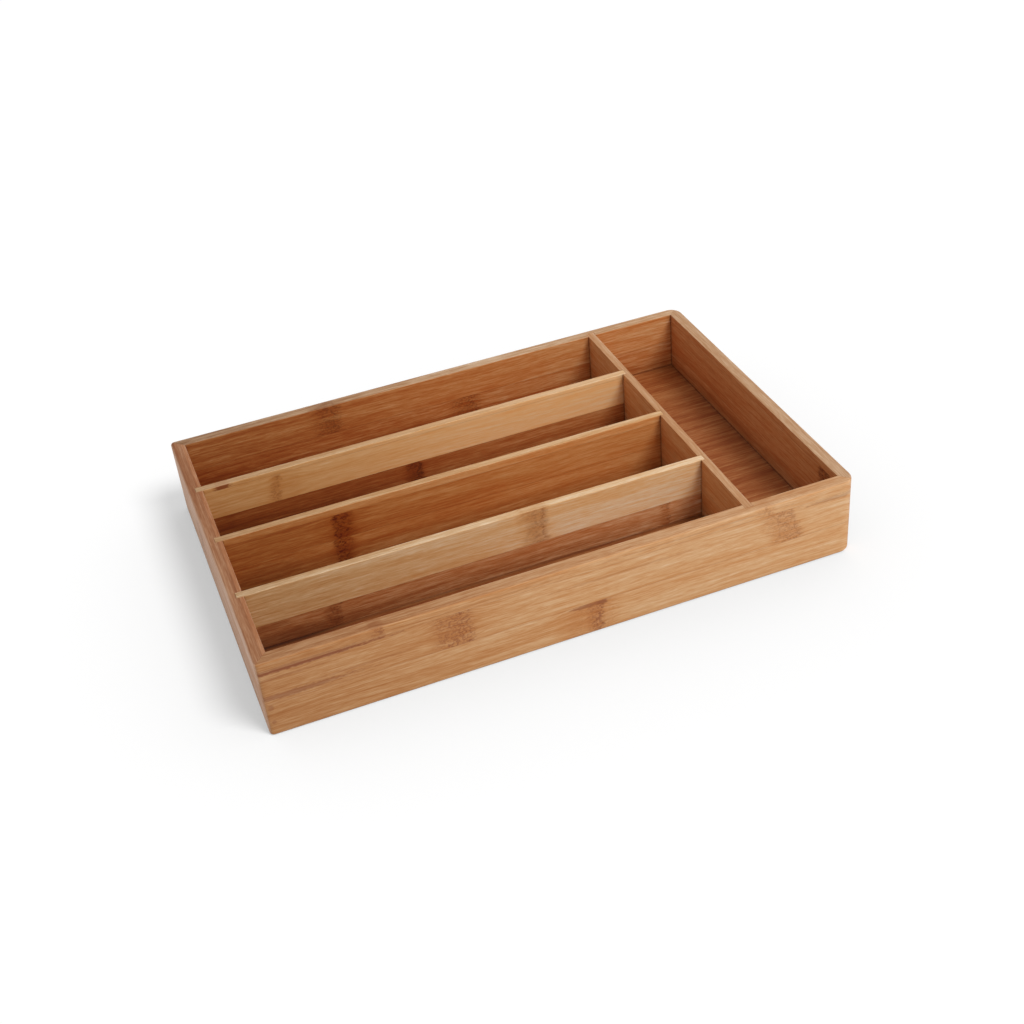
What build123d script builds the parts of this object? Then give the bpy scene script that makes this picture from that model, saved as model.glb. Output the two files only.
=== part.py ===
from build123d import *
import os

# Cutlery tray in laminated bamboo. Four frame boards meet in glued mitres, a base panel
# lies in a groove of the frame, a cross divider closes off a compartment at the right end,
# and three long dividers make four compartments on its left.
# Every board is glued up edge to edge from bamboo strips, and each strip is a piece.
#
# Sizes are in millimetres. The origin is the middle of the footprint, on the surface that
# the tray stands on. +X runs along the long compartments, +Y to the back and +Z up.

# The whole tray
tray_length = 350.0
tray_width = 230.0
tray_height = 50.0

# Boards
frame_board = 8.0
divider_board = 5.0
panel_board = 4.0
panel_underside = 7.0

# Clear length of the compartment at the right end
end_bay = 55.5

# Rounded and eased edges. The frame's corners are nearly square at the left end and full at the right
left_corner_round = 2.5
right_corner_round = 8.0
edge_round = 1.5
arris_round = 0.4

# Joints: the base panel's groove and the housings that hold the ends of the dividers
groove_depth = 4.0
groove_play = 0.3
frame_housing = 4.0
cross_housing = 2.5
housing_play = 0.2
glue_gap = 0.05
cut_overrun = 1.0

# Where the glue seams between the strips lie, as shares of each board's height from its foot
frame_seam_shares = {
    "front_board": (0.43, 0.87),
    "right_board": (0.46, 0.90),
    "back_board": (0.10, 0.60),
    "left_board": (0.28, 0.72),
}
divider_seam_shares = {
    "rear_divider": (0.44, 0.93),
    "middle_divider": (0.44, 0.88),
    "front_divider": (0.40,),
}
cross_seam_shares = (0.49,)

# Names of a board's strips, from its foot up, by how many it has
strip_names = {
    2: ("lower_strip", "upper_strip"),
    3: ("lower_strip", "middle_strip", "upper_strip"),
}

# Sizes and places that follow from those above
inner_length = tray_length - 2 * frame_board
inner_width = tray_width - 2 * frame_board
panel_top = panel_underside + panel_board
divider_height = tray_height - panel_top

cross_right = inner_length / 2 - end_bay
cross_left = cross_right - divider_board
cross_middle = (cross_left + cross_right) / 2
cross_length = inner_width + 2 * (frame_housing - housing_play)

long_bays = len(divider_seam_shares) + 1
bay_width = (inner_width - (long_bays - 1) * divider_board) / long_bays
bay_pitch = bay_width + divider_board
rearmost_divider = inner_width / 2 - bay_width - divider_board / 2
divider_places = [rearmost_divider - number * bay_pitch for number in range(long_bays - 1)]

divider_start = -inner_length / 2 - frame_housing + housing_play
divider_end = cross_left + cross_housing - housing_play

slot_width = divider_board + 2 * glue_gap

outer_corners = [
    (-tray_length / 2, -tray_width / 2),
    (tray_length / 2, -tray_width / 2),
    (tray_length / 2, tray_width / 2),
    (-tray_length / 2, tray_width / 2),
]
inner_corners = [
    (-inner_length / 2, -inner_width / 2),
    (inner_length / 2, -inner_width / 2),
    (inner_length / 2, inner_width / 2),
    (-inner_length / 2, inner_width / 2),
]


def strip_heights(foot, top, seam_shares):
    """List each strip of a board as its name, its lower seam and its upper seam."""
    seams = [foot + share * (top - foot) for share in seam_shares]
    levels = [foot, *seams, top]
    names = strip_names[len(levels) - 1]
    return list(zip(names, levels[:-1], levels[1:]))


def ease_frame_edge(face):
    """Round the outer edges of the frame's top or foot, and ease the inner ones."""
    outer_edges = face.outer_wire().edges()
    inner_edges = face.inner_wires()[0].edges()
    fillet(outer_edges, edge_round)
    fillet(inner_edges, arris_round)


def frame_cuts():
    """Make the solid that the frame is cut with: the panel's groove and the upright slots."""
    with BuildPart() as cuts:
        with BuildSketch(Plane.XY.offset(panel_underside - glue_gap)):
            Rectangle(inner_length + 2 * groove_depth, inner_width + 2 * groove_depth)
        extrude(amount=panel_board + 2 * glue_gap)

        slot_depth = frame_housing + cut_overrun
        slot_middle = frame_housing - slot_depth / 2
        with BuildSketch(Plane.XY.offset(panel_top)):
            for place in divider_places:
                with Locations((-inner_length / 2 - slot_middle, place)):
                    Rectangle(slot_depth, slot_width)
            for side in (-1, 1):
                with Locations((cross_middle, side * (inner_width / 2 + slot_middle))):
                    Rectangle(slot_width, slot_depth)
        extrude(amount=divider_height)
    return cuts.part


def frame_strip(corner, low, high, cuts):
    """Make one strip of the frame board that runs from this corner to the next one."""
    following = (corner + 1) % len(outer_corners)
    with BuildPart() as strip:
        # The frame as one ring between the two seams
        with BuildSketch(Plane.XY.offset(low)) as ring:
            Rectangle(tray_length, tray_width)
            fillet(ring.vertices().group_by(Axis.X)[0], left_corner_round)
            fillet(ring.vertices().group_by(Axis.X)[-1], right_corner_round)
            Rectangle(inner_length, inner_width, mode=Mode.SUBTRACT)
        extrude(amount=high - low)
        if high == tray_height:
            ease_frame_edge(strip.faces().sort_by(Axis.Z)[-1])
        if low == 0:
            ease_frame_edge(strip.faces().sort_by(Axis.Z)[0])

        # Groove for the base panel and slots for the dividers
        add(cuts, mode=Mode.SUBTRACT)

        # Mitred ends: only this board's side of the ring stays
        with BuildSketch(Plane.XY.offset(low)):
            Polygon(
                outer_corners[corner],
                outer_corners[following],
                inner_corners[following],
                inner_corners[corner],
                align=None,
            )
        extrude(amount=high - low, mode=Mode.INTERSECT)
    return strip


def cross_strip(low, high):
    """Make one strip of the cross divider, slotted on its left face for the long dividers."""
    with BuildPart() as strip:
        with BuildSketch(Plane.XY.offset(low)):
            with Locations((cross_middle, 0)):
                Rectangle(divider_board, cross_length)
        extrude(amount=high - low)
        if high == tray_height:
            fillet(strip.edges().group_by(Axis.Z)[-1].filter_by(Axis.Y), arris_round)

        slot_depth = cross_housing + cut_overrun
        with BuildSketch(Plane.XY.offset(low)):
            for place in divider_places:
                with Locations((cross_left + cross_housing - slot_depth / 2, place)):
                    Rectangle(slot_depth, slot_width)
        extrude(amount=high - low, mode=Mode.SUBTRACT)
    return strip


def divider_strip(place, low, high):
    """Make one strip of a long divider, which stands at this place along Y."""
    with BuildPart() as strip:
        with BuildSketch(Plane.XY.offset(low)):
            with Locations(((divider_start + divider_end) / 2, place)):
                Rectangle(divider_end - divider_start, divider_board)
        extrude(amount=high - low)
        if high == tray_height:
            fillet(strip.edges().group_by(Axis.Z)[-1].filter_by(Axis.X), arris_round)
    return strip


def save(piece, name):
    """Name a finished piece and write it to its own file."""
    piece.part.label = name
    export_step(piece.part, f"parts/{name}.step")


os.makedirs("parts", exist_ok=True)

# Base panel, held on all four sides by the frame's groove
with BuildPart() as base_panel:
    with BuildSketch(Plane.XY.offset(panel_underside)):
        tongue = groove_depth - groove_play
        Rectangle(inner_length + 2 * tongue, inner_width + 2 * tongue)
    extrude(amount=panel_board)
save(base_panel, "base_panel")

# Frame boards: front, right, back and left
cuts = frame_cuts()
for corner, (board, shares) in enumerate(frame_seam_shares.items()):
    for name, low, high in strip_heights(0, tray_height, shares):
        save(frame_strip(corner, low, high, cuts), f"{board}_{name}")

# Cross divider, which stands on the base panel between the front and back boards
for name, low, high in strip_heights(panel_top, tray_height, cross_seam_shares):
    save(cross_strip(low, high), f"cross_divider_{name}")

# Long dividers, which stand on the base panel between the left board and the cross divider
for place, (board, shares) in zip(divider_places, divider_seam_shares.items()):
    for name, low, high in strip_heights(panel_top, tray_height, shares):
        save(divider_strip(place, low, high), f"{board}_{name}")
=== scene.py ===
"""Looks of the laminated bamboo cutlery tray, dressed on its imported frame.

Every bamboo strip of the tray is a node of the frame already, at its true shape, so the strips stay as
they are and each gets a bamboo of its own: tone, fibre, culm nodes, glue lines and rubbed edges. The
places of all of these are worked out from the strips' own boxes, in metres, in the frame of the tray.
"""

import logging
import math
from dataclasses import dataclass
from enum import Enum

import bpy
from mathutils import Matrix, Vector


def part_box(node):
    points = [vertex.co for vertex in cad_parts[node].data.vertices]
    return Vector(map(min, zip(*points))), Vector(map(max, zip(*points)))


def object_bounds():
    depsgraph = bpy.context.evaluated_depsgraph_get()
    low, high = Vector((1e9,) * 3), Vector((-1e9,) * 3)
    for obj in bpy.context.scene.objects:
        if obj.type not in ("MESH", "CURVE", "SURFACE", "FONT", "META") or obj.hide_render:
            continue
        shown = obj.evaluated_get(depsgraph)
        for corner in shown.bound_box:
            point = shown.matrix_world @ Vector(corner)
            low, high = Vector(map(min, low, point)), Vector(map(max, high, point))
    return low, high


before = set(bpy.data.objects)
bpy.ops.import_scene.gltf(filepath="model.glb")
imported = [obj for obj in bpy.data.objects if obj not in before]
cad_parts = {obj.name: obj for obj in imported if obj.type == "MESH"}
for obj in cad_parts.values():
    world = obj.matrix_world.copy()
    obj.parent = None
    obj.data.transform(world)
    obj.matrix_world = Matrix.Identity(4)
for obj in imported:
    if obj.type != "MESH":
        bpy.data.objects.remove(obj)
cad_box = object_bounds()

# The tray stands in the middle of its frame, so its far corner gives half of its length and width
half_length = cad_box[1][0]
half_width = cad_box[1][1]

MILLIMETRE = 0.001

log = logging.getLogger("cutlery_tray")

Colour = tuple[float, float, float]
Socket = bpy.types.NodeSocket
Given = Socket | float | Colour


def srgb(code: str) -> Colour:
    """Turn a colour written as six hex digits into linear light.

    Args:
        code: The colour as it looks on a screen, such as "c3926a".

    Returns:
        Red, green and blue in linear light, each from 0 to 1.
    """
    parts = [int(code[i : i + 2], 16) / 255 for i in (0, 2, 4)]
    linear = [c / 12.92 if c <= 0.04045 else ((c + 0.055) / 1.055) ** 2.4 for c in parts]
    return linear[0], linear[1], linear[2]


class Lie(Enum):
    """How a strip lies in the tray: the axes along its fibres, up its width and through its thickness."""

    ALONG_THE_TRAY = ("X", "Z", "Y")
    ACROSS_THE_TRAY = ("Y", "Z", "X")
    FLAT = ("X", "Y", "Z")

    def __init__(self, along: str, across: str, depth: str) -> None:
        """Keep each axis by its name.

        Args:
            along: The axis along the fibres.
            across: The axis up the strip's width.
            depth: The axis through its thickness.
        """
        self.along = along
        self.across = across
        self.depth = depth


@dataclass(frozen=True)
class Tone:
    """The colours of one kind of bamboo strip.

    Attributes:
        face: Its broad faces.
        top: Its narrow edge, where that is the top of a board.
        knot: Its culm nodes and the glue beside it, and the dark lines at the inner joints, which carry
            painted shade on the narrow bays' floors.
        contrast: How strongly its fibres show.
    """

    face: Colour
    top: Colour
    knot: Colour
    contrast: float = 1.0


@dataclass(frozen=True)
class Knot:
    """One culm node of the bamboo, where the fibres cross and darken.

    Attributes:
        place: Where it lies along the fibres, in mm from the middle of the tray.
        reach: Half of its length along the fibres, in mm; a reach below nought fades the other way.
        slant: How far it leans along the fibres for each unit up the strip.
        halo: How deep the soft shade round it is.
        patch: How dark its solid part is.
        line: How dark the broken line at its crisp side is.
        speckle: How dark its specks are.
    """

    place: float
    reach: float
    slant: float = 0.0
    halo: float = 0.15
    patch: float = 0.05
    line: float = 0.0
    speckle: float = 0.6


@dataclass(frozen=True)
class Spot:
    """A small dark mark of the bamboo, or a soft patch of painted shade.

    Attributes:
        place: Where it lies along the fibres, in mm from the middle of the tray.
        rise: Where it lies above the table, in mm.
        length: Half of its length along the fibres, in mm.
        height: Half of its height, in mm.
        shade: How dark it is.
    """

    place: float
    rise: float
    length: float
    height: float
    shade: float


@dataclass(frozen=True)
class Strip:
    """One bamboo strip: a node of the frame with its tone and its marks.

    Attributes:
        node: Its name in the frame.
        tone: Its colours.
        seed: The number that its own fibres start from.
        knots: The culm nodes that it shows.
        spots: The small dark marks that it shows, and its patches of painted shade.
        light_falloff: How much lighter it grows towards its right end; it darkens twice as much towards its
            left.
        rim: How much lighter its top is beside the inner face.
    """

    node: str
    tone: Tone
    seed: float
    knots: tuple[Knot, ...] = ()
    spots: tuple[Spot, ...] = ()
    # Painted light: lighter towards the right end and darker towards the left, as the light falls off across
    # the tray
    light_falloff: float = 0.0
    rim: float = 0.0


HONEY = Tone(face=srgb("cf9966"), top=srgb("b68458"), knot=srgb("824428"), contrast=1.1)
RUDDY = Tone(face=srgb("c69979"), top=srgb("956340"), knot=srgb("6c3c26"), contrast=0.85)
STRAW = Tone(face=srgb("eebc81"), top=srgb("cea67b"), knot=srgb("8a4c26"))
PALE = Tone(face=srgb("e9bf8d"), top=srgb("d7b38a"), knot=srgb("8a4a2a"), contrast=1.65)
TAWNY = Tone(face=srgb("d49256"), top=srgb("c89d6f"), knot=srgb("521402"), contrast=1.2)
AMBER = Tone(face=srgb("c57e42"), top=srgb("c79b6e"), knot=srgb("581804"), contrast=1.15)
UMBER = Tone(face=srgb("aa6330"), top=srgb("cba078"), knot=srgb("52200a"), contrast=1.1)
COPPER = Tone(face=srgb("c88a59"), top=srgb("cba078"), knot=srgb("5c2810"), contrast=1.65)
TOFFEE = Tone(face=srgb("c8834a"), top=srgb("b18863"), knot=srgb("5c2a10"), contrast=1.45)
CARAMEL = Tone(face=srgb("bb713a"), top=srgb("b98f66"), knot=srgb("5c2a10"), contrast=1.45)
RUSSET = Tone(face=srgb("c98852"), top=srgb("bd8e65"), knot=srgb("5a2810"))
CHESTNUT = Tone(face=srgb("be7b48"), top=srgb("b58a64"), knot=srgb("5a2810"))
# The floor's knot colour darkens only its joint lines, which are broadened into painted shade in the narrow
# bays
FLOOR_BAMBOO = Tone(face=srgb("99582a"), top=srgb("c8875a"), knot=srgb("341305"))


class ShaderSketch:
    """Places and joins the nodes of one shader tree."""

    NOISE_MEAN = 0.5

    # Places of the mix node's sockets in its colour form
    MIX_SHARE = 0
    MIX_UNDER = 6
    MIX_OVER = 7
    MIX_RESULT = 2

    def __init__(self, tree: bpy.types.NodeTree) -> None:
        """Work on this tree.

        Args:
            tree: The tree of a material, a world or a node group.
        """
        self.tree = tree

    def node(self, kind: str, **settings: object) -> bpy.types.Node:
        """Add a node and set its own options.

        Args:
            kind: Its type name.
            settings: Options of the node, such as operation="ADD".

        Returns:
            The new node.
        """
        made = self.tree.nodes.new(kind)
        for name, value in settings.items():
            setattr(made, name, value)
        return made

    def feed(self, socket: Socket, value: Given) -> None:
        """Join a socket to another one, or set its plain value.

        Args:
            socket: The input.
            value: An output socket, a number or a colour.
        """
        if isinstance(value, Socket):
            self.tree.links.new(value, socket)
        elif isinstance(value, tuple):
            socket.default_value = (*value, 1.0)
        else:
            socket.default_value = value

    def use(self, effect: "Effect", **values: Given) -> bpy.types.NodeOutputs:
        """Place a shared effect in the tree.

        Args:
            effect: The effect.
            values: What its inputs are given.

        Returns:
            Its outputs.
        """
        made = self.node("ShaderNodeGroup", node_tree=effect.tree)
        for label, value in values.items():
            self.feed(made.inputs[label], value)
        return made.outputs

    def split(self, kind: str, output: str) -> bpy.types.NodeOutputs:
        """Add a node that gives a vector, and take the vector apart.

        Args:
            kind: The node's type name.
            output: Which of its outputs is read.

        Returns:
            The vector's X, Y and Z.
        """
        made = self.node("ShaderNodeSeparateXYZ")
        self.feed(made.inputs["Vector"], self.node(kind).outputs[output])
        return made.outputs

    def vector(self, *values: Given) -> Socket:
        """Join three numbers into a vector.

        Args:
            values: Its X, Y and Z.

        Returns:
            The vector's socket.
        """
        made = self.node("ShaderNodeCombineXYZ")
        for socket, value in zip(made.inputs, values):
            self.feed(socket, value)
        return made.outputs["Vector"]

    def math(self, operation: str, *values: Given) -> Socket:
        """Add a sum, product or other function of one or two numbers.

        Args:
            operation: The operation's name, such as "MULTIPLY".
            values: Its inputs.

        Returns:
            The result's socket.
        """
        made = self.node("ShaderNodeMath", operation=operation)
        for socket, value in zip(made.inputs, values):
            self.feed(socket, value)
        return made.outputs["Value"]

    def chain(self, operation: str, *values: Given) -> Given:
        """Join any number of values by one operation.

        Args:
            operation: The operation's name, such as "MINIMUM".
            values: The values, taken from left to right.

        Returns:
            The result, which is the value itself where there is only one.
        """
        result = values[0]
        for value in values[1:]:
            result = self.math(operation, result, value)
        return result

    def total(self, *values: Given) -> Given:
        """Add up the values."""
        return self.chain("ADD", *values)

    def product(self, *values: Given) -> Given:
        """Multiply the values."""
        return self.chain("MULTIPLY", *values)

    def less(self, value: Given, taken: Given) -> Socket:
        """Take one value from another."""
        return self.math("SUBTRACT", value, taken)

    def apart(self, one: Given, other: Given) -> Socket:
        """Measure how far two values are apart."""
        return self.math("ABSOLUTE", self.less(one, other))

    def off_planes(self, value: Given, planes: tuple[float, ...]) -> Given:
        """Measure how far a value is from the nearest of some planes."""
        return self.chain("MINIMUM", *(self.apart(value, plane) for plane in planes))

    def weighed(self, outputs: bpy.types.NodeOutputs, weights: dict[str, float]) -> Given:
        """Add up some outputs of a node, each times its own weight."""
        return self.total(*(self.product(outputs[label], weight) for label, weight in weights.items()))

    def ramp(self, value: Given, low: Given, high: Given, bottom: Given = 0.0, top: Given = 1.0) -> Socket:
        """Turn a value smoothly from bottom to top as it goes from low to high.

        Args:
            value: The value that is read.
            low: Where the turn starts.
            high: Where it ends.
            bottom: The result at low.
            top: The result at high.

        Returns:
            The result's socket.
        """
        made = self.node("ShaderNodeMapRange", interpolation_type="SMOOTHSTEP")
        labels = ("Value", "From Min", "From Max", "To Min", "To Max")
        for label, given in zip(labels, (value, low, high, bottom, top)):
            self.feed(made.inputs[label], given)
        return made.outputs["Result"]

    def between(self, share: Given, bottom: Given, top: Given) -> Socket:
        """Turn a share that goes from 0 to 1 into a value that goes from bottom to top."""
        return self.ramp(share, 0.0, 1.0, bottom, top)

    def grain(
        self,
        along: Given,
        across: Given,
        size: tuple[float, float],
        seed: Given,
        detail: float = 2.0,
        roughness: float = 0.5,
    ) -> Socket:
        """Add a noise that is drawn out along the fibres.

        Args:
            along: The place along the fibres.
            across: The place across them.
            size: The length and the width of its grains, in mm.
            seed: The number that it starts from.
            detail: How many finer layers it has.
            roughness: How strong the finer layers are.

        Returns:
            The noise's value, about 0.5 on average.
        """
        length, width = size
        place = self.vector(
            self.product(along, 1 / (length * MILLIMETRE)),
            self.product(across, 1 / (width * MILLIMETRE)),
            seed,
        )
        made = self.node("ShaderNodeTexNoise", noise_dimensions="3D")
        self.feed(made.inputs["Vector"], place)
        self.feed(made.inputs["Scale"], 1.0)
        self.feed(made.inputs["Detail"], detail)
        self.feed(made.inputs["Roughness"], roughness)
        return made.outputs["Fac"]

    def swing(self, grain: Given, width: float) -> Given:
        """Turn a noise into a swing of this width, from one side of nought to the other."""
        return self.product(self.less(grain, self.NOISE_MEAN), width)

    def cover(self, under: Given, over: Given) -> Socket:
        """Lay one mask over another, so that both still show."""
        return self.less(self.total(under, over), self.product(under, over))

    def blend(self, share: Given, under: Given, over: Given, mode: str = "MIX") -> Socket:
        """Lay one colour over another.

        Args:
            share: How much of the upper colour shows, from 0 to 1.
            under: The colour below.
            over: The colour above.
            mode: How they join.

        Returns:
            The result's socket.
        """
        made = self.node("ShaderNodeMix", data_type="RGBA", blend_type=mode)
        self.feed(made.inputs[self.MIX_SHARE], share)
        self.feed(made.inputs[self.MIX_UNDER], under)
        self.feed(made.inputs[self.MIX_OVER], over)
        return made.outputs[self.MIX_RESULT]

    def looked_at(self) -> Socket:
        """Tell the rays that look at a surface or mirror it from those that carry its light.

        Returns:
            One for camera, glossy and transmission rays, nought for the rest.
        """
        path = self.node("ShaderNodeLightPath").outputs
        return self.chain(
            "MAXIMUM", path["Is Camera Ray"], path["Is Glossy Ray"], path["Is Transmission Ray"]
        )


class Effect(ShaderSketch):
    """A shader group that the bamboo of every strip uses, built once."""

    NAME = ""
    INPUTS: dict[str, float] = {}
    OUTPUTS: tuple[str, ...] = ()

    def __init__(self) -> None:
        """Build the group: its named inputs and outputs, and what lies between them."""
        super().__init__(bpy.data.node_groups.new(self.NAME, "ShaderNodeTree"))
        for label, value in self.INPUTS.items():
            socket = self.tree.interface.new_socket(label, in_out="INPUT", socket_type="NodeSocketFloat")
            socket.default_value = value
        for label in self.OUTPUTS:
            self.tree.interface.new_socket(label, in_out="OUTPUT", socket_type="NodeSocketFloat")
        self.given = self.node("NodeGroupInput").outputs
        result = self.node("NodeGroupOutput").inputs
        for label, value in self.draw().items():
            self.feed(result[label], value)

    def draw(self) -> dict[str, Given]:
        """Draw what the group does.

        Returns:
            What each of its outputs puts out.
        """
        raise NotImplementedError


class Fibres(Effect):
    """The fibres along the grain: fine ones, lines, streaks and soft clouds."""

    NAME = "bamboo_fibres"
    INPUTS = {"Along": 0.0, "Across": 0.0, "Sway": 0.0, "Seed": 0.0}

    # Length and width of each kind of fibre, in mm
    SIZES = {"Fine": (6.0, 0.5), "Line": (19.0, 1.0), "Streak": (75.0, 2.6), "Cloud": (170.0, 9.0)}
    OUTPUTS = tuple(SIZES)
    ROUGHNESS = 0.6
    SEED_STEP = 17.0

    # Values of the noise that give the palest and the darkest fibres
    GRAIN_SPAN = (0.28, 0.72)

    # The slow wave that all fibres of a strip share
    WAVE_SIZE = (60.0, 14.0)
    WAVE_DETAIL = 1.0
    WAVE_WIDTH = 3.0 * MILLIMETRE

    def draw(self) -> dict[str, Given]:
        """Draw the fibres.

        Returns:
            How dark each kind of fibre makes a point, from -1 to 1.
        """
        along = self.given["Along"]
        across = self.given["Across"]
        seed = self.given["Seed"]
        wave = self.grain(along, across, self.WAVE_SIZE, seed, detail=self.WAVE_DETAIL)
        across = self.total(across, self.given["Sway"], self.swing(wave, self.WAVE_WIDTH))
        shades = {}
        for number, (label, size) in enumerate(self.SIZES.items()):
            start = self.total(seed, self.SEED_STEP * number)
            grain = self.grain(along, across, size, start, roughness=self.ROUGHNESS)
            shades[label] = self.ramp(grain, *self.GRAIN_SPAN, -1.0, 1.0)
        return shades


class CulmNode(Effect):
    """The culm node: its soft shade, its solid part, its edge, its specks and the sway of the fibres.

    Places along the fibres are measured in reaches from its middle, with the crisp side at the plus end.
    A pair with fade in its name says where a mask is nought and where it is full.
    """

    NAME = "culm_node"
    INPUTS = {
        "Along": 0.0, "Across": 0.0, "Place": 0.0, "Reach": 5.0 * MILLIMETRE,
        "Slant": 0.0, "Middle": 0.0, "Seed": 0.0,
    }
    OUTPUTS = ("Halo", "Patch", "Line", "Speckle", "Sway")

    # Length and width of the grains of each noise, in mm
    WOBBLE_SIZE = (9.0, 3.0)
    CLOUD_SIZE = (5.0, 4.0)
    SPECK_SIZE = (1.6, 1.1)
    BREAK_SIZE = (9.0, 1.2)
    GRAIN_DETAIL = 3.0
    GRAIN_ROUGHNESS = 0.6

    WOBBLE_WIDTH = 9.0 * MILLIMETRE
    HALO_FADE = (1.7, 0.2)
    SOFT_SIDE_FADE = (-1.5, 0.2)
    CRISP_SIDE_FADE = (1.25, 0.75)
    LINE_PLACE = 0.7
    LINE_FADE = (1.0 * MILLIMETRE, 0.2 * MILLIMETRE)
    CLOUD_FADE = (0.3, 0.65)
    SPECK_FADE = (0.45, 0.58)
    BREAK_FADE = (0.4, 0.6)

    # Shade of the specks and of the solid part, and what a cloud adds to it
    SPECK_SHADE = 0.35
    SPECK_CLOUD = 0.75
    PATCH_SHADE = 0.55
    PATCH_CLOUD = 0.45

    SWAY_SHARE = -0.15

    def draw(self) -> dict[str, Given]:
        """Draw the culm node.

        Returns:
            The masks of its parts, and how far it pushes the fibres aside, in metres.
        """
        rise = self.less(self.given["Across"], self.given["Middle"])
        lean = self.product(rise, self.given["Slant"])
        wobble = self.swing(self.own_grain(self.WOBBLE_SIZE), self.WOBBLE_WIDTH)
        away = self.less(self.given["Along"], self.total(self.given["Place"], lean, wobble))
        share = self.math("DIVIDE", away, self.given["Reach"])
        halo = self.ramp(self.math("ABSOLUTE", share), *self.HALO_FADE)
        core = self.product(self.ramp(share, *self.SOFT_SIDE_FADE), self.ramp(share, *self.CRISP_SIDE_FADE))
        cloud = self.ramp(self.own_grain(self.CLOUD_SIZE), *self.CLOUD_FADE)
        speck = self.ramp(self.own_grain(self.SPECK_SIZE), *self.SPECK_FADE)
        unbroken = self.ramp(self.own_grain(self.BREAK_SIZE), *self.BREAK_FADE)
        size = self.math("ABSOLUTE", self.given["Reach"])
        off_line = self.product(self.apart(share, self.LINE_PLACE), size)
        speck_shade = self.total(self.SPECK_SHADE, self.product(cloud, self.SPECK_CLOUD))
        patch_shade = self.total(self.PATCH_SHADE, self.product(cloud, self.PATCH_CLOUD))
        return {
            "Halo": halo,
            "Patch": self.product(core, patch_shade),
            "Line": self.product(self.ramp(off_line, *self.LINE_FADE), unbroken),
            "Speckle": self.product(speck, speck_shade, core),
            "Sway": self.product(halo, rise, self.SWAY_SHARE),
        }

    def own_grain(self, size: tuple[float, float]) -> Socket:
        """Add a noise of the culm node, which starts from its seed and the grain's length.

        Args:
            size: The length and the width of its grains, in mm.

        Returns:
            The noise's value.
        """
        along = self.given["Along"]
        across = self.given["Across"]
        seed = self.total(self.given["Seed"], size[0])
        return self.grain(along, across, size, seed, self.GRAIN_DETAIL, self.GRAIN_ROUGHNESS)


class DarkSpot(Effect):
    """The dark spot: a small mark with a ragged edge."""

    NAME = "dark_spot"
    INPUTS = {
        "Along": 0.0, "Across": 0.0, "Place": 0.0, "Rise": 0.0,
        "Length": 3.0 * MILLIMETRE, "Height": 1.0 * MILLIMETRE, "Seed": 0.0,
    }
    OUTPUTS = ("Spot",)

    # The edge's grains in mm, how far they push it, and its fade, as shares of the spot's half size
    RAGGED_SIZE = (2.5, 0.9)
    RAGGED_SHARE = 1.6
    FADE = (1.3, 0.5)

    def draw(self) -> dict[str, Given]:
        """Draw the dark spot.

        Returns:
            Its mask.
        """
        along = self.given["Along"]
        across = self.given["Across"]
        length = self.math("DIVIDE", self.less(along, self.given["Place"]), self.given["Length"])
        height = self.math("DIVIDE", self.less(across, self.given["Rise"]), self.given["Height"])
        away = self.math("SQRT", self.total(self.product(length, length), self.product(height, height)))
        ragged = self.grain(along, across, self.RAGGED_SIZE, self.given["Seed"])
        away = self.total(away, self.swing(ragged, self.RAGGED_SHARE))
        return {"Spot": self.ramp(away, *self.FADE)}


class GlueLine(Effect):
    """The glue line: a fine dark line where a distance comes near nought."""

    NAME = "glue_line"
    INPUTS = {"Distance": 1.0, "Width": 0.3 * MILLIMETRE}
    OUTPUTS = ("Line",)

    def draw(self) -> dict[str, Given]:
        """Draw the glue line."""
        return {"Line": self.ramp(self.math("ABSOLUTE", self.given["Distance"]), self.given["Width"], 0.0)}


class RubbedEdges(Effect):
    """The rubbed edges: where the surface turns from one face to the next."""

    NAME = "rubbed_edges"
    INPUTS = {"X": 0.0, "Y": 0.0, "Z": 1.0}
    OUTPUTS = ("Rubbed",)

    # How squarely a surface faces an axis where it isn't rubbed at all, and where it is rubbed most
    FADE = (0.995, 0.8)

    def draw(self) -> dict[str, Given]:
        """Draw the rubbed edges.

        Returns:
            Their mask.
        """
        sizes = (self.math("ABSOLUTE", self.given[axis]) for axis in "XYZ")
        return {"Rubbed": self.ramp(self.chain("MAXIMUM", *sizes), *self.FADE)}


class PaintedLightFalloff(Effect):
    """Painted light falloff: a strip's colour made lighter towards the right end of the tray and darker
    towards the left.
    """

    NAME = "painted_light_falloff"
    INPUTS = {"Place": 0.0, "Half": half_length, "Drift": 0.1}
    OUTPUTS = ("Level", "Depth")

    # How much the depth of the colour turns with its level
    DEPTH_SHARE = 0.9

    def draw(self) -> dict[str, Given]:
        """Draw the painted falloff, which is twice as strong to the left as to the right.

        Returns:
            What the colour is multiplied by, and the power that it is raised to.
        """
        share = self.math("DIVIDE", self.given["Place"], self.given["Half"])
        share = self.product(share, self.given["Drift"])
        share = self.total(share, self.math("MINIMUM", share, 0.0))
        return {
            "Level": self.total(1.0, share),
            "Depth": self.less(1.0, self.product(share, self.DEPTH_SHARE)),
        }


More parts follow.
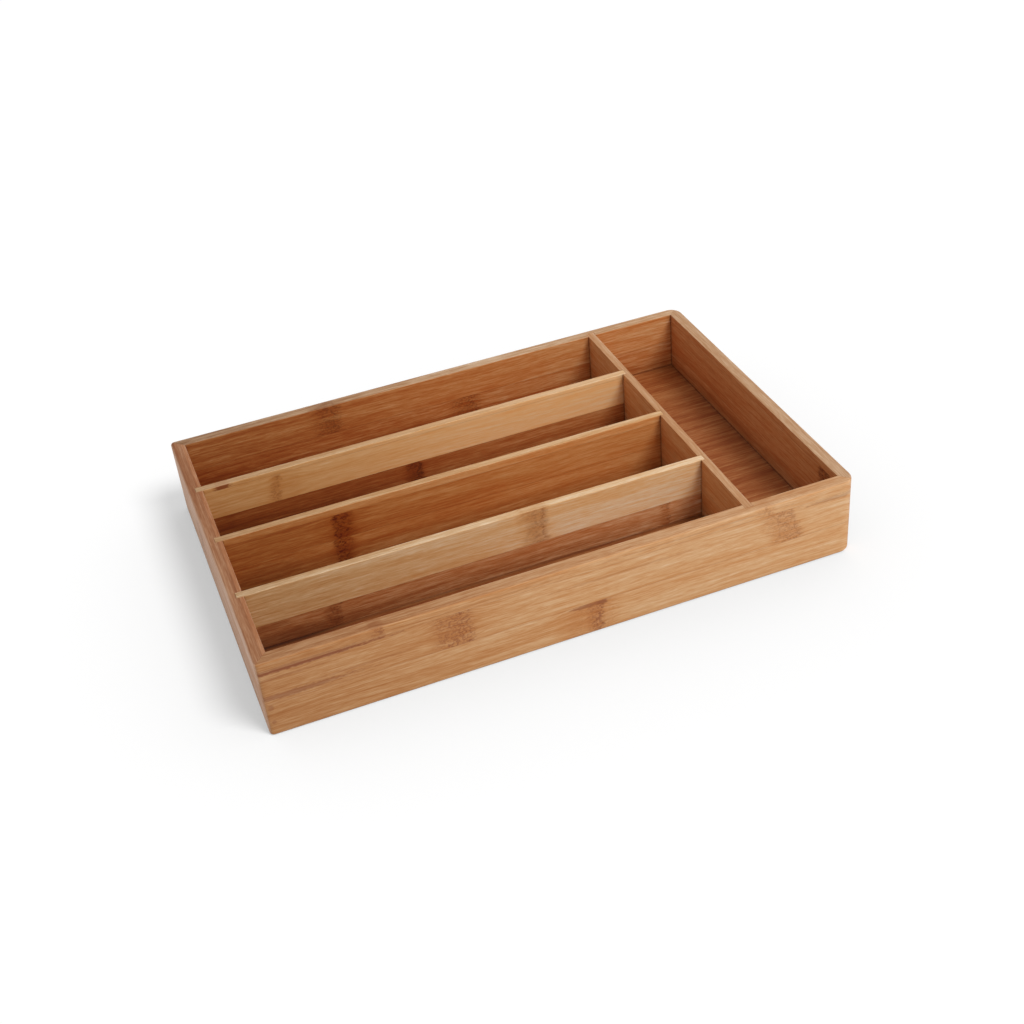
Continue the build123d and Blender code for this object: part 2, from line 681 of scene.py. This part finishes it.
@dataclass(frozen=True)
class InnerFaces:
    """Where the faces inside the tray lie, in metres.

    Each outer board has one, the floor is the top of the base panel, and the dividers have two each.
    """

    left: float
    right: float
    front: float
    back: float
    floor: float
    cross: tuple[float, ...]
    dividers: tuple[float, ...]

    @classmethod
    def measured(cls) -> "InnerFaces":
        """Measure the faces on the strips of the frame.

        Returns:
            Their places.
        """
        names = ("rear", "middle", "front")
        return cls(
            left=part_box("left_board_upper_strip")[1].x,
            right=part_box("right_board_upper_strip")[0].x,
            front=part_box("front_board_upper_strip")[1].y,
            back=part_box("back_board_upper_strip")[0].y,
            floor=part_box("base_panel")[1].z,
            cross=tuple(corner.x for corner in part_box("cross_divider_upper_strip")),
            dividers=tuple(corner.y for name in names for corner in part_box(f"{name}_divider_upper_strip")),
        )


class JointLinesAndPaintedShade(Effect):
    """A dark line at each inner joint and a soft painted shade beside it, where shade falls in the inner
    corners; on the floors of the narrow bays the line is broadened into painted shade.

    A board gives the skip of its own thickness as 1, which takes its own two faces away from the joints.
    """

    NAME = "joint_lines_and_painted_shade"
    INPUTS = {"X": 0.0, "Y": 0.0, "Z": 0.0, "SkipX": 0.0, "SkipY": 0.0, "SkipZ": 0.0}
    OUTPUTS = ("Line", "Soft")
    FACES = InnerFaces.measured()
    SLACK = 0.3 * MILLIMETRE

    # The dark line beside a joint, broadened into painted shade on the narrow bays' floors: how far it
    # reaches, and how dark it is
    LINE_REACH = 1.2 * MILLIMETRE
    NARROW_FLOOR_REACH = 6.0 * MILLIMETRE
    LINE_DEPTH = 0.5

    # At the foot of the narrow bays the line deepens into painted shade towards the left board
    FOOT_HEIGHT = 1.2 * MILLIMETRE
    FOOT_FADE = (65.0 * MILLIMETRE, 25.0 * MILLIMETRE)
    FOOT_DEPTH = 0.95

    # The soft painted shade: how far it reaches up from the floor, and beside the end compartment's sides
    SOFT_RISE = 16.0 * MILLIMETRE
    SOFT_REACH = 6.0 * MILLIMETRE

    def draw(self) -> dict[str, Given]:
        """Draw the dark line and the soft painted shade.

        Returns:
            Their masks, which are nought outside the tray.
        """
        past_cross = self.math("GREATER_THAN", self.given["X"], sum(self.FACES.cross) / 2)
        off = self.distances(past_cross)
        rise = self.total(off["Z"], self.given["SkipZ"])
        end_sides = (self.FACES.cross[0], self.FACES.right)
        aside = self.total(self.off_planes(self.given["X"], end_sides), self.given["SkipX"])
        shades = (self.ramp(rise, self.SOFT_RISE, 0.0), self.ramp(aside, self.SOFT_REACH, 0.0))
        inside = self.inside()
        return {
            "Line": self.product(self.line(past_cross, off), inside),
            "Soft": self.product(self.math("MAXIMUM", *shades), inside),
        }

    def distances(self, past_cross: Given) -> dict[str, Given]:
        """Measure how far a point is from the nearest inner face along each axis.

        Args:
            past_cross: One in the end compartment, where the long dividers don't count.

        Returns:
            The distances along X, Y and Z.
        """
        faces = self.FACES
        off_dividers = self.total(self.off_planes(self.given["Y"], faces.dividers), past_cross)
        off_frame = self.off_planes(self.given["Y"], (faces.front, faces.back))
        return {
            "X": self.off_planes(self.given["X"], (faces.left, *faces.cross, faces.right)),
            "Y": self.math("MINIMUM", off_frame, off_dividers),
            "Z": self.off_planes(self.given["Z"], (faces.floor,)),
        }

    def inside(self) -> Given:
        """Find the points inside the tray.

        Returns:
            One inside the tray, nought outside.
        """
        masks = [self.math("GREATER_THAN", self.given["Z"], self.FACES.floor - self.SLACK)]
        for axis, edge in (("X", self.FACES.right), ("Y", self.FACES.back)):
            size = self.math("ABSOLUTE", self.given[axis])
            masks.append(self.math("LESS_THAN", size, edge + self.SLACK))
        return self.product(*masks)

    def line(self, past_cross: Given, off: dict[str, Given]) -> Given:
        """Draw the dark line beside the joints, which is broadened into painted shade on the floors of the
        narrow bays, darkest at their feet near the left board.

        Args:
            past_cross: One in the end compartment.
            off: How far a point is from the nearest inner face along each axis.

        Returns:
            The line's mask.
        """
        nearest = self.chain("MINIMUM", *(self.total(off[axis], self.given[f"Skip{axis}"]) for axis in "XYZ"))
        narrow = self.less(1.0, past_cross)
        on_floor = self.math("LESS_THAN", self.given["Z"], self.FACES.floor + self.SLACK)
        at_foot = self.math("LESS_THAN", off["Z"], self.FOOT_HEIGHT)
        reach = self.between(self.product(narrow, on_floor), self.LINE_REACH, self.NARROW_FLOOR_REACH)
        off_left = self.less(self.given["X"], self.FACES.left)
        foot_depth = self.ramp(off_left, *self.FOOT_FADE, self.LINE_DEPTH, self.FOOT_DEPTH)
        depth = self.between(self.product(narrow, at_foot), self.LINE_DEPTH, foot_depth)
        return self.product(self.ramp(nearest, reach, 0.0), depth)


class SharedEffects:
    """The effects that every strip's bamboo uses."""

    def __init__(self) -> None:
        """Build each effect once."""
        self.fibres = Fibres()
        self.culm_node = CulmNode()
        self.dark_spot = DarkSpot()
        self.glue_line = GlueLine()
        self.rubbed = RubbedEdges()
        self.painted_light_falloff = PaintedLightFalloff()
        self.joint_lines_and_painted_shade = JointLinesAndPaintedShade()


@dataclass(frozen=True)
class Board:
    """A board of the tray: strips glued edge to edge, all lying the same way.

    Attributes:
        name: What a maker calls the board.
        lie: How its strips lie.
        strips: Its strips, from the foot up.
        mitred: Whether its ends are mitred to the next boards.
    """

    name: str
    lie: Lie
    strips: tuple[Strip, ...]
    mitred: bool = False

    def dress(self, effects: SharedEffects) -> None:
        """Give every strip of the board its bamboo.

        Args:
            effects: The shared effects.
        """
        for strip in self.strips:
            material = Bamboo(self, strip, effects).material
            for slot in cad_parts[strip.node].material_slots:
                slot.material = material
            log.info("%s: %s in %s", self.name, strip.node, material.name)


class Bamboo(ShaderSketch):
    """The bamboo of one strip, worked out from the place of each of its points in the tray."""

    # How squarely a surface faces up or down where a board's top starts, and where it is all top
    TOP_FADE = (0.5, 0.9)
    UPWARD = 0.5

    FIBRE_WEIGHTS = {"Fine": 0.10, "Line": 0.12, "Streak": 0.10, "Cloud": 0.10}
    # How much the soft painted shade beside the joints darkens the colour
    CORNER_DEPTH = 0.22
    RIM_FADE = (2.64 * MILLIMETRE, 1.76 * MILLIMETRE)
    MARKS_ON_TOP = 0.25
    KNOT_SEED_STEP = 3.7
    SPOT_SEED_STEP = 5.3
    GLUE_WIDTH = 0.3 * MILLIMETRE
    GLUE_SHADE = 0.3
    RUBBED_SHARE = 0.12

    # The dull light that the frame's outer faces throw on the floor
    OUTER_DEPTH = 1.0 * MILLIMETRE
    DULL_BOUNCE = (0.16, 0.14, 0.12)

    # The relief: how far each thing stands above the surface, in shares of its height
    FIBRE_RELIEFS = {"Fine": -0.4, "Line": -0.4}
    MARK_RELIEF = -0.6
    GLUE_RELIEF = -2.0
    RELIEF_HEIGHT = 0.05 * MILLIMETRE
    RELIEF_STRENGTH = 0.4

    # From the palest fibres to the darkest, which are duller
    PATTERN_SPAN = (-0.15, 0.15)
    ROUGHNESS_SPAN = (0.5, 0.68)
    SPECULAR = 0.3

    def __init__(self, board: Board, strip: Strip, effects: SharedEffects) -> None:
        """Make the material of a strip.

        Args:
            board: The board that it is glued into.
            strip: The strip.
            effects: The shared effects.
        """
        self.material = bpy.data.materials.new(f"bamboo_{strip.node}")
        self.material.use_nodes = True
        super().__init__(self.material.node_tree)
        self.tree.nodes.clear()
        self.board = board
        self.strip = strip
        self.effects = effects
        self.place = self.split("ShaderNodeTexCoord", "Object")
        self.facing = self.split("ShaderNodeNewGeometry", "Normal")
        self.on_top = self.ramp(self.math("ABSOLUTE", self.facing["Z"]), *self.TOP_FADE)
        self.finish()

    def finish(self) -> None:
        """Join the fibres, the marks and the lines in the strip's shader."""
        lie = self.board.lie
        tone = self.strip.tone
        marks, halo, sway = self.marks()
        lines = self.glue()
        joints = self.joints()
        fibres = self.use(
            self.effects.fibres,
            Along=self.place[lie.along],
            Across=self.total(self.place[lie.across], self.place[lie.depth]),
            Sway=sway,
            Seed=self.strip.seed,
        )
        pattern = self.product(self.weighed(fibres, self.FIBRE_WEIGHTS), tone.contrast)
        # The bare colour, with the painted light falloff and the soft painted shade beside the joints
        colour = self.bare_bamboo(pattern, halo, joints["Soft"])
        colour = self.blend(marks, colour, tone.knot)
        # The dark joint lines, which carry painted shade on the narrow bays' floors
        colour = self.blend(joints["Line"], colour, tone.knot)
        colour = self.blend(self.product(lines, self.GLUE_SHADE), colour, tone.knot)
        rubbed = self.use(self.effects.rubbed, **{axis: self.facing[axis] for axis in "XYZ"})["Rubbed"]
        colour = self.blend(self.product(rubbed, self.RUBBED_SHARE), colour, tone.top)
        if self.board.mitred:
            colour = self.blend(self.thrown_outward(), colour, self.DULL_BOUNCE)
        roughness = self.ramp(pattern, *self.PATTERN_SPAN, *self.ROUGHNESS_SPAN)
        relief = self.total(
            self.weighed(fibres, self.FIBRE_RELIEFS),
            self.product(marks, self.MARK_RELIEF),
            self.product(lines, self.GLUE_RELIEF),
        )

        bump = self.node("ShaderNodeBump")
        self.feed(bump.inputs["Strength"], self.RELIEF_STRENGTH)
        self.feed(bump.inputs["Distance"], self.RELIEF_HEIGHT)
        self.feed(bump.inputs["Height"], relief)
        shader = self.node("ShaderNodeBsdfPrincipled")
        self.feed(shader.inputs["Base Color"], colour)
        self.feed(shader.inputs["Roughness"], roughness)
        self.feed(shader.inputs["Specular IOR Level"], self.SPECULAR)
        self.feed(shader.inputs["Normal"], bump.outputs["Normal"])
        self.feed(self.node("ShaderNodeOutputMaterial").inputs["Surface"], shader.outputs["BSDF"])

    def bare_bamboo(self, pattern: Given, halo: Given, soft: Given) -> Socket:
        """Give the strip's colour, with its fibres, its painted light falloff from end to end and its painted
        shade beside the joints.

        Args:
            pattern: How dark the fibres are.
            halo: The soft shade round the culm nodes.
            soft: The soft painted shade beside the joints.

        Returns:
            The colour under all marks and lines.
        """
        tone = self.strip.tone
        base = tone.face if self.board.lie is Lie.FLAT else self.blend(self.on_top, tone.face, tone.top)
        # Painted light falloff along the tray, and the soft painted shade beside the joints, as levels of the
        # colour
        light_falloff = self.use(self.effects.painted_light_falloff, Place=self.place["X"], Drift=self.strip.light_falloff)
        level = self.product(light_falloff["Level"], self.between(soft, 1.0, 1.0 - self.CORNER_DEPTH))
        if self.strip.rim:
            level = self.product(level, self.between(self.inner_rim(), 1.0, 1.0 + self.strip.rim))
        levelled = self.blend(1.0, base, self.vector(level, level, level), "MULTIPLY")
        deepened = self.node("ShaderNodeGamma")
        self.feed(deepened.inputs["Color"], levelled)
        self.feed(deepened.inputs["Gamma"], self.total(light_falloff["Depth"], pattern, halo))
        return deepened.outputs["Color"]

    def inner_rim(self) -> Given:
        """Find the part of a frame board's top that lies beside its inner face.

        Returns:
            The rim's mask.
        """
        axis = self.board.lie.depth
        faces = [corner["XYZ".index(axis)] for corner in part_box(self.strip.node)]
        beside = self.apart(self.place[axis], min(faces, key=abs))
        return self.product(self.on_top, self.ramp(beside, *self.RIM_FADE))

    def insets(self) -> list[Socket]:
        """Measure how far a point lies inside the tray's outer faces, along X and along Y."""
        halves = (("X", half_length), ("Y", half_width))
        return [self.less(half, self.math("ABSOLUTE", self.place[axis])) for axis, half in halves]

    def thrown_outward(self) -> Given:
        """Find the soft light that the board's outer face throws on the floor, which the studio keeps dull.

        Returns:
            One for that light, nought for everything that is looked at.
        """
        outer = self.math("LESS_THAN", self.chain("MINIMUM", *self.insets()), self.OUTER_DEPTH)
        return self.product(outer, self.node("ShaderNodeLightPath").outputs["Is Diffuse Ray"])

    def joints(self) -> dict[str, Given]:
        """Find how near a point of the board is to the joints inside the tray.

        Returns:
            The dark joint line, broadened into painted shade on the narrow bays' floors, and the soft painted
            shade, on the faces that meet another board.
        """
        values: dict[str, Given] = {axis: self.place[axis] for axis in "XYZ"}
        values[f"Skip{self.board.lie.depth}"] = 1.0
        found = self.use(self.effects.joint_lines_and_painted_shade, **values)
        if self.board.lie is Lie.FLAT:
            faces = self.math("GREATER_THAN", self.facing["Z"], self.UPWARD)
        else:
            faces = self.less(1.0, self.on_top)
        return {label: self.product(found[label], faces) for label in ("Line", "Soft")}

    def marks(self) -> tuple[Given, Given, Given]:
        """Draw the culm nodes and dark spots of the strip.

        Returns:
            The mask of the dark marks, the soft shade round them, and the sway of the fibres beside them.
        """
        lie = self.board.lie
        point = {"Along": self.place[lie.along], "Across": self.place[lie.across]}
        middle = sum(corner["XYZ".index(lie.across)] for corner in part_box(self.strip.node)) / 2
        dark: Given = 0.0
        halo: Given = 0.0
        sway: Given = 0.0
        for count, knot in enumerate(self.strip.knots, start=1):
            figure = self.use(
                self.effects.culm_node,
                **point,
                Place=knot.place * MILLIMETRE,
                Reach=knot.reach * MILLIMETRE,
                Slant=knot.slant,
                Middle=middle,
                Seed=self.strip.seed + self.KNOT_SEED_STEP * count,
            )
            for label, shade in (("Speckle", knot.speckle), ("Patch", knot.patch), ("Line", knot.line)):
                dark = self.cover(dark, self.product(figure[label], shade))
            halo = self.total(halo, self.product(figure["Halo"], knot.halo))
            sway = self.total(sway, figure["Sway"])
        for count, spot in enumerate(self.strip.spots, start=1):
            figure = self.use(
                self.effects.dark_spot,
                **point,
                Place=spot.place * MILLIMETRE,
                Rise=spot.rise * MILLIMETRE,
                Length=spot.length * MILLIMETRE,
                Height=spot.height * MILLIMETRE,
                Seed=self.strip.seed + self.SPOT_SEED_STEP * count,
            )
            dark = self.math("MAXIMUM", dark, self.product(figure["Spot"], spot.shade))
        if lie is not Lie.FLAT:
            dark = self.product(dark, self.between(self.on_top, 1.0, self.MARKS_ON_TOP))
        return dark, halo, sway

    def glue(self) -> Given:
        """Draw the glue lines at the strip's seams and at the mitres of a mitred board.

        Returns:
            The lines' mask.
        """
        low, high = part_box(self.strip.node)
        strips = self.board.strips
        distances = []
        if self.strip is not strips[0]:
            distances.append(self.less(self.place["Z"], low.z))
        if self.strip is not strips[-1]:
            distances.append(self.less(self.place["Z"], high.z))
        if self.board.mitred:
            distances.append(self.less(*self.insets()))
        lines: Given = 0.0
        for distance in distances:
            line = self.use(self.effects.glue_line, Distance=distance, Width=self.GLUE_WIDTH)["Line"]
            lines = self.math("MAXIMUM", lines, line)
        return lines


@dataclass(frozen=True)
class Studio:
    """The plain pale floor, the white surround and the soft key light.

    Attributes:
        floor_size: Side of the square floor, in metres.
        floor_share: How much of the light the floor gives back.
        floor_roughness: How dull the floor is.
        floor_glow: What the floor adds for rays that look at it, so that it shows white out of the shadow.
        surround: Strength of the surround as a light.
        surround_lean: How much stronger the surround is to the right and to the front.
        key_towards: The direction from the tray to the key light.
        key_width: How wide the key light is, as an angle in degrees.
        key_share: What the key light adds on a level surface, where 1 shows a colour as it is written.
    """

    floor_size: float = 12.0
    floor_share: float = 0.72
    floor_roughness: float = 0.9
    floor_glow: float = 0.3
    surround: float = 0.58
    surround_lean: tuple[float, float] = (0.08, -0.05)
    key_towards: tuple[float, float, float] = (0.42, -0.6, 1.0)
    key_width: float = 24.0
    key_share: float = 0.42

    WHITE = (1.0, 1.0, 1.0)

    def build(self) -> None:
        """Build the floor, the surround and the key light."""
        self.build_floor()
        self.build_surround()
        self.build_key()

    def build_floor(self) -> None:
        """Build the floor, which keeps the tray's shadow and is white elsewhere."""
        half = self.floor_size / 2
        mesh = bpy.data.meshes.new("studio_floor")
        corners = [(-half, -half, 0.0), (half, -half, 0.0), (half, half, 0.0), (-half, half, 0.0)]
        mesh.from_pydata(corners, [], [(0, 1, 2, 3)])
        floor = bpy.data.objects.new("studio_floor", mesh)
        bpy.context.scene.collection.objects.link(floor)
        material = bpy.data.materials.new("studio_floor")
        material.use_nodes = True
        mesh.materials.append(material)
        sketch = ShaderSketch(material.node_tree)
        shader = sketch.tree.nodes["Principled BSDF"]
        sketch.feed(shader.inputs["Base Color"], (self.floor_share,) * 3)
        sketch.feed(shader.inputs["Roughness"], self.floor_roughness)
        sketch.feed(shader.inputs["Specular IOR Level"], 0.0)
        sketch.feed(shader.inputs["Emission Color"], self.WHITE)
        sketch.feed(shader.inputs["Emission Strength"], sketch.product(sketch.looked_at(), self.floor_glow))

    def build_surround(self) -> None:
        """Build the surround: white where it is seen, softer where it lights."""
        world = bpy.data.worlds.new("studio_surround")
        world.use_nodes = True
        bpy.context.scene.world = world
        sketch = ShaderSketch(world.node_tree)
        ground = sketch.tree.nodes["Background"]
        towards = sketch.split("ShaderNodeTexCoord", "Generated")
        right, front = self.surround_lean
        lean = sketch.total(1.0, sketch.weighed(towards, {"X": right, "Y": -front}))
        softer = sketch.product(lean, self.surround)
        sketch.feed(ground.inputs["Color"], self.WHITE)
        sketch.feed(ground.inputs["Strength"], sketch.between(sketch.looked_at(), softer, 1.0))

    def build_key(self) -> None:
        """Build the key light, as even as a large soft lamp high above the tray."""
        towards = Vector(self.key_towards)
        lamp = bpy.data.lights.new("key_light", "SUN")
        lamp.angle = math.radians(self.key_width)
        lamp.energy = self.key_share * math.pi / towards.normalized().z
        holder = bpy.data.objects.new("key_light", lamp)
        bpy.context.scene.collection.objects.link(holder)
        holder.rotation_mode = "QUATERNION"
        holder.rotation_quaternion = towards.to_track_quat("Z", "Y")


@dataclass(frozen=True)
class PhotoCamera:
    """The camera at the photograph's place, found by fitting the tray's straight edges.

    Its place is in metres, its angles are in degrees, and its lens and film are in mm.
    """

    place: tuple[float, float, float] = (-0.21725, -0.70144, 0.54656)
    azimuth: float = -18.157
    elevation: float = 36.166
    roll: float = -5.597
    lens: float = 52.427
    film_width: float = 36.0
    shift_x: float = -0.00977
    clip_start: float = 0.05

    def build(self) -> None:
        """Make the camera and hand it to the scene."""
        data = bpy.data.cameras.new("photo_camera")
        data.lens = self.lens
        data.sensor_width = self.film_width
        data.shift_x = self.shift_x
        data.clip_start = self.clip_start
        holder = bpy.data.objects.new("photo_camera", data)
        bpy.context.scene.collection.objects.link(holder)
        turn = math.radians(self.azimuth)
        rise = math.radians(self.elevation)
        back = Vector((math.sin(turn) * math.cos(rise), -math.cos(turn) * math.cos(rise), math.sin(rise)))
        aim = (-back).to_track_quat("-Z", "Y").to_matrix().to_4x4()
        tilt = Matrix.Rotation(math.radians(self.roll), 4, "Z")
        holder.matrix_world = Matrix.Translation(self.place) @ aim @ tilt
        bpy.context.scene.camera = holder


def front_board() -> Board:
    """List the strips of the front board, with the marks of its outer face.

    Returns:
        The board.
    """
    lower = Strip(
        "front_board_lower_strip",
        HONEY,
        seed=1.3,
        knots=(
            Knot(12.0, 4.5, slant=0.1, patch=0.1, line=0.6, speckle=0.65),
            Knot(7.0, 17.0, halo=0.25, patch=0.0, speckle=0.15),
        ),
        spots=(
            Spot(16.0, 20.0, 4.0, 1.4, 0.75),
            Spot(8.0, 20.3, 11.0, 1.5, 0.6),
            Spot(-171.5, 19.0, 1.6, 2.2, 0.4),
            Spot(-171.5, 9.0, 1.2, 1.6, 0.4),
        ),
        light_falloff=0.1,
    )
    middle = Strip(
        "front_board_middle_strip",
        HONEY,
        seed=5.9,
        knots=(
            Knot(-69.0, 11.0, speckle=0.68),
            Knot(-71.0, 20.0, halo=0.1, patch=0.0, speckle=0.0),
            Knot(128.0, 10.0, slant=-0.4, halo=0.2, patch=0.14, speckle=0.42),
        ),
        spots=(
            Spot(-150.0, 42.7, 48.0, 1.3, 0.85),
            Spot(-170.0, 38.0, 34.0, 0.9, 0.25),
            Spot(-165.0, 25.6, 42.0, 1.9, 0.55),
            Spot(-122.0, 29.0, 30.0, 0.8, 0.2),
            Spot(30.0, 36.5, 45.0, 0.9, 0.15),
            Spot(163.0, 41.6, 22.0, 1.4, 0.3),
        ),
        light_falloff=0.1,
    )
    upper = Strip(
        "front_board_upper_strip",
        HONEY,
        seed=9.2,
        knots=(Knot(-110.0, 4.0), Knot(117.0, 5.0, halo=0.1, speckle=0.35)),
        spots=(
            Spot(-150.0, 44.3, 38.0, 0.8, 0.4),
            Spot(-60.0, 45.6, 60.0, 0.5, 0.2),
            Spot(80.0, 46.4, 70.0, 0.5, 0.2),
        ),
        light_falloff=0.1,
    )
    return Board("front_board", Lie.ALONG_THE_TRAY, (lower, middle, upper), mitred=True)


def right_board() -> Board:
    """List the strips of the right board, with the knot of its inner face.

    Returns:
        The board.
    """
    middle = Strip(
        "right_board_middle_strip",
        CHESTNUT,
        seed=15.1,
        knots=(Knot(-95.0, 7.0, halo=0.2, patch=0.45, speckle=0.85),),
        spots=(Spot(-99.0, 36.0, 5.5, 7.0, 0.6),),
    )
    strips = (
        Strip("right_board_lower_strip", CHESTNUT, seed=12.4),
        middle,
        Strip("right_board_upper_strip", CHESTNUT, seed=18.8),
    )
    return Board("right_board", Lie.ACROSS_THE_TRAY, strips, mitred=True)


def back_board() -> Board:
    """List the strips of the back board, with the knots of its inner face.

    Returns:
        The board.
    """
    middle = Strip(
        "back_board_middle_strip",
        CARAMEL,
        seed=24.6,
        knots=(Knot(16.0, 10.0, halo=0.2, patch=0.12),),
        light_falloff=0.13,
    )
    upper = Strip(
        "back_board_upper_strip",
        TOFFEE,
        seed=27.5,
        knots=(Knot(-77.0, 9.0, halo=0.2, patch=0.15, speckle=0.55),),
        light_falloff=0.14,
    )
    strips = (Strip("back_board_lower_strip", CARAMEL, seed=21.7, light_falloff=0.13), middle, upper)
    return Board("back_board", Lie.ALONG_THE_TRAY, strips, mitred=True)


def left_board() -> Board:
    """List the strips of the left board, whose top is lighter beside the inner face.

    Returns:
        The board.
    """
    strips = (
        Strip("left_board_lower_strip", RUDDY, seed=31.2),
        Strip("left_board_middle_strip", RUDDY, seed=34.9, knots=(Knot(41.0, 8.0),)),
        Strip("left_board_upper_strip", RUDDY, seed=38.3, rim=0.22),
    )
    return Board("left_board", Lie.ACROSS_THE_TRAY, strips, mitred=True)


def cross_divider() -> Board:
    """List the strips of the cross divider.

    Returns:
        The board.
    """
    strips = (
        Strip("cross_divider_lower_strip", RUSSET, seed=42.0),
        Strip("cross_divider_upper_strip", RUSSET, seed=45.8),
    )
    return Board("cross_divider", Lie.ACROSS_THE_TRAY, strips)


def rear_divider() -> Board:
    """List the strips of the rear divider: a dark foot and a pale upper part.

    Returns:
        The board.
    """
    lower = Strip(
        "rear_divider_lower_strip",
        UMBER,
        seed=49.1,
        knots=(Knot(-38.0, 5.5, halo=0.25, patch=0.25, line=0.6, speckle=0.8),),
        light_falloff=0.15,
    )
    middle = Strip(
        "rear_divider_middle_strip",
        STRAW,
        seed=52.6,
        knots=(
            Knot(-124.5, 3.4, slant=0.15, patch=0.15, speckle=0.5),
            Knot(-119.0, 10.0, halo=0.12, speckle=0.0),
        ),
        light_falloff=0.14,
    )
    upper = Strip(
        "rear_divider_upper_strip",
        STRAW,
        seed=55.3,
        spots=(Spot(-155.0, 48.9, 5.4, 2.8, 1.0),),
        light_falloff=0.14,
    )
    return Board("rear_divider", Lie.ALONG_THE_TRAY, (lower, middle, upper))


def middle_divider() -> Board:
    """List the strips of the middle divider, all amber.

    Returns:
        The board.
    """
    lower = Strip(
        "middle_divider_lower_strip",
        AMBER,
        seed=58.7,
        knots=(Knot(-99.0, -5.5, halo=0.3, patch=0.15, line=0.4, speckle=0.9),),
        # This spot is painted shade in the lower corner at the left end of the bay
        spots=(Spot(-148.0, 20.0, 24.0, 6.5, 0.2),),
        light_falloff=0.13,
    )
    middle = Strip(
        "middle_divider_middle_strip",
        AMBER,
        seed=61.4,
        knots=(
            Knot(-97.5, -6.0, halo=0.3, patch=0.2, line=0.85, speckle=0.85),
            Knot(-98.0, 14.0, halo=0.2, patch=0.03, speckle=0.0),
        ),
        light_falloff=0.14,
    )
    upper = Strip("middle_divider_upper_strip", TAWNY, seed=64.0, light_falloff=0.13)
    return Board("middle_divider", Lie.ALONG_THE_TRAY, (lower, middle, upper))


def front_divider() -> Board:
    """List the strips of the front divider: a copper foot and a pale upper part.

    Returns:
        The board.
    """
    lower = Strip(
        "front_divider_lower_strip",
        COPPER,
        seed=67.9,
        knots=(Knot(-121.0, 4.5, patch=0.2), Knot(83.0, 3.0, speckle=0.35)),
        # Both spots are painted shade in the lower corner at the left end of the bay
        spots=(Spot(-152.0, 13.0, 30.0, 6.0, 0.3), Spot(-158.0, 24.0, 12.0, 3.0, 0.2)),
        light_falloff=0.14,
    )
    upper = Strip(
        "front_divider_upper_strip",
        PALE,
        seed=70.2,
        knots=(Knot(0.5, 8.0, halo=0.32, patch=0.3, line=0.5, speckle=0.3),),
        light_falloff=0.13,
    )
    return Board("front_divider", Lie.ALONG_THE_TRAY, (lower, upper))


def base_panel() -> Board:
    """List the base panel, which is one panel and lies flat."""
    return Board("base_panel", Lie.FLAT, (Strip("base_panel", FLOOR_BAMBOO, seed=73.5),))


def main() -> None:
    """Dress the tray, and build the studio and the camera."""
    logging.basicConfig(level=logging.INFO, format="%(message)s")
    effects = SharedEffects()
    outer_boards = (front_board(), right_board(), back_board(), left_board())
    dividers = (cross_divider(), rear_divider(), middle_divider(), front_divider())
    for board in (*outer_boards, *dividers, base_panel()):
        board.dress(effects)
    Studio().build()
    PhotoCamera().build()
    bpy.context.scene.view_settings.view_transform = "Standard"


if __name__ == "__main__":
    main()
